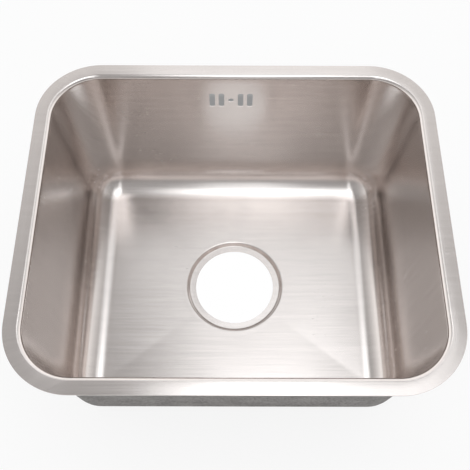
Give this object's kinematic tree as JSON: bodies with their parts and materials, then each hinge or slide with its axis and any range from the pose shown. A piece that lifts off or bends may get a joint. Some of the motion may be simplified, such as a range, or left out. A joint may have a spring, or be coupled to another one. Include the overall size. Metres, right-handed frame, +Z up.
{
  "type": "undermount kitchen sink",
  "caption": "Single-bowl undermount sink of pressed stainless steel: flat flange, stepped waste seat, slotted overflow, coated underside and swing-out clips.",
  "frame": {"origin": "middle of the lowest plane, on the waste axis under the waste seat", "axes": "+Z up to the flange, +Y to the back where the overflow is, +X along the 400 mm width"},
  "size_m": [0.4, 0.343, 0.188],
  "materials": {
    "stainless": "satin",
    "deadening_coat": "matt speckled",
    "pad_rubber": "matt",
    "zinc_steel": "zinc plated",
    "rivet_steel": "bright",
    "tag_steel": "plain"
  },
  "bodies": {
    "basin": {"bowl": "stainless", "undercoat": "deadening_coat", "sound_pad_left": "pad_rubber", "sound_pad_right": "pad_rubber", "earth_tag": "tag_steel", "clip_bracket_back_left": "zinc_steel", "clip_rivet_back_left": "rivet_steel", "clip_bracket_back_right": "zinc_steel", "clip_rivet_back_right": "rivet_steel", "clip_bracket_front_left": "zinc_steel", "clip_rivet_front_left": "rivet_steel", "clip_bracket_front_right": "zinc_steel", "clip_rivet_front_right": "rivet_steel", "clip_bracket_left": "zinc_steel", "clip_rivet_left": "rivet_steel", "clip_bracket_right": "zinc_steel", "clip_rivet_right": "rivet_steel"},
    "clip_back_left": {"clip_arm_back_left": "zinc_steel"},
    "clip_back_right": {"clip_arm_back_right": "zinc_steel"},
    "clip_front_left": {"clip_arm_front_left": "zinc_steel"},
    "clip_front_right": {"clip_arm_front_right": "zinc_steel"},
    "clip_left": {"clip_arm_left": "zinc_steel"},
    "clip_right": {"clip_arm_right": "zinc_steel"}
  },
  "joints": [
    {"name": "clip_swing_back_left", "type": "hinge", "parent": "basin", "child": "clip_back_left", "pos_m": [-0.095, 0.1646, 0.1846], "axis": [0, 0, 1], "range_deg": [0, 90]},
    {"name": "clip_swing_back_right", "type": "hinge", "parent": "basin", "child": "clip_back_right", "pos_m": [0.095, 0.1646, 0.1846], "axis": [0, 0, 1], "range_deg": [0, 90]},
    {"name": "clip_swing_front_left", "type": "hinge", "parent": "basin", "child": "clip_front_left", "pos_m": [-0.095, -0.1646, 0.1846], "axis": [0, 0, 1], "range_deg": [0, 90]},
    {"name": "clip_swing_front_right", "type": "hinge", "parent": "basin", "child": "clip_front_right", "pos_m": [0.095, -0.1646, 0.1846], "axis": [0, 0, 1], "range_deg": [0, 90]},
    {"name": "clip_swing_left", "type": "hinge", "parent": "basin", "child": "clip_left", "pos_m": [-0.1931, 0, 0.1846], "axis": [0, 0, 1], "range_deg": [0, 90]},
    {"name": "clip_swing_right", "type": "hinge", "parent": "basin", "child": "clip_right", "pos_m": [0.1931, 0, 0.1846], "axis": [0, 0, 1], "range_deg": [0, 90]}
  ]
}
